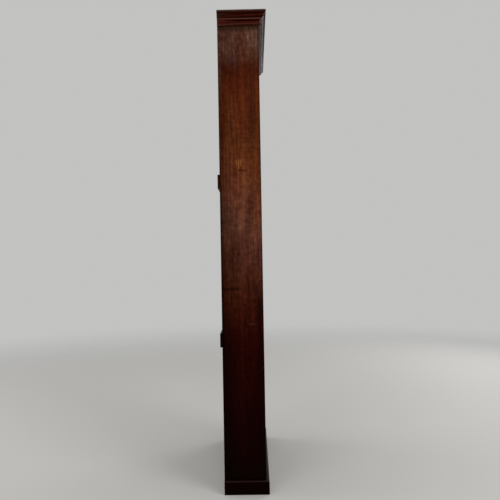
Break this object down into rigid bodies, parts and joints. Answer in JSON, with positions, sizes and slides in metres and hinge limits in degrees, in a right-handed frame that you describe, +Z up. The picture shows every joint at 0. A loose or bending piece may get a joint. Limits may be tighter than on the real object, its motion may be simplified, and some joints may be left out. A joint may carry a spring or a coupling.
{
  "type": "bookcase",
  "caption": "Tall, narrow open-front wooden bookcase with a moulded cornice, a plinth, a boarded back and loose shelves that lie on pegs and slide forwards.",
  "frame": {"origin": "on the floor, under the middle of the whole piece's box", "axes": "+X to the right as seen from the open front, +Y to the back, +Z up"},
  "size_m": [0.722, 0.22, 2.065],
  "materials": {
    "case_mahogany": "old French polish, satin",
    "edge_mahogany": "old French polish, satin",
    "moulding_mahogany": "old French polish, satin",
    "shelf_mahogany": "worn polish, satin",
    "dust_board_wood": "bare and dusty",
    "back_pine": "stained, matt",
    "batten_wood": "stained, matt",
    "peg_brass": "dull brass",
    "fixing_steel": "dark, dull"
  },
  "bodies": {
    "carcase": {"side_left": "case_mahogany", "side_right": "case_mahogany", "front_strip_left": "edge_mahogany", "front_strip_right": "edge_mahogany", "top_board": "shelf_mahogany", "bottom_board": "shelf_mahogany", "fixed_shelf": "shelf_mahogany", "frieze_rail": "case_mahogany", "frieze_blocks": "back_pine", "cornice_front": "moulding_mahogany", "cornice_return_left": "moulding_mahogany", "cornice_return_right": "moulding_mahogany", "dust_board": "dust_board_wood", "dust_board_pins": "fixing_steel", "plinth_front": "moulding_mahogany", "plinth_return_left": "moulding_mahogany", "plinth_return_right": "moulding_mahogany", "plinth_rail_front": "case_mahogany", "plinth_rail_back": "back_pine", "plinth_blocks": "back_pine", "back_board_1": "back_pine", "back_board_2": "back_pine", "back_board_3": "back_pine", "back_board_4": "back_pine", "back_board_5": "back_pine", "back_board_6": "back_pine", "back_batten_lower": "batten_wood", "back_batten_upper": "batten_wood", "batten_screws": "fixing_steel", "back_pins": "fixing_steel", "shelf_pegs_1": "peg_brass", "shelf_pegs_2": "peg_brass", "shelf_pegs_3": "peg_brass", "shelf_pegs_4": "peg_brass", "shelf_pegs_5": "peg_brass"},
    "shelf_1": {"shelf_1": "shelf_mahogany"},
    "shelf_2": {"shelf_2": "shelf_mahogany"},
    "shelf_3": {"shelf_3": "shelf_mahogany"},
    "shelf_4": {"shelf_4": "shelf_mahogany"},
    "shelf_5": {"shelf_5": "shelf_mahogany"}
  },
  "joints": [
    {"name": "shelf_1_slide", "type": "slide", "parent": "carcase", "child": "shelf_1", "axis": [0, -1, 0], "range_m": [0, 0.05]},
    {"name": "shelf_2_slide", "type": "slide", "parent": "carcase", "child": "shelf_2", "axis": [0, -1, 0], "range_m": [0, 0.05]},
    {"name": "shelf_3_slide", "type": "slide", "parent": "carcase", "child": "shelf_3", "axis": [0, -1, 0], "range_m": [0, 0.05]},
    {"name": "shelf_4_slide", "type": "slide", "parent": "carcase", "child": "shelf_4", "axis": [0, -1, 0], "range_m": [0, 0.05]},
    {"name": "shelf_5_slide", "type": "slide", "parent": "carcase", "child": "shelf_5", "axis": [0, -1, 0], "range_m": [0, 0.05]}
  ]
}
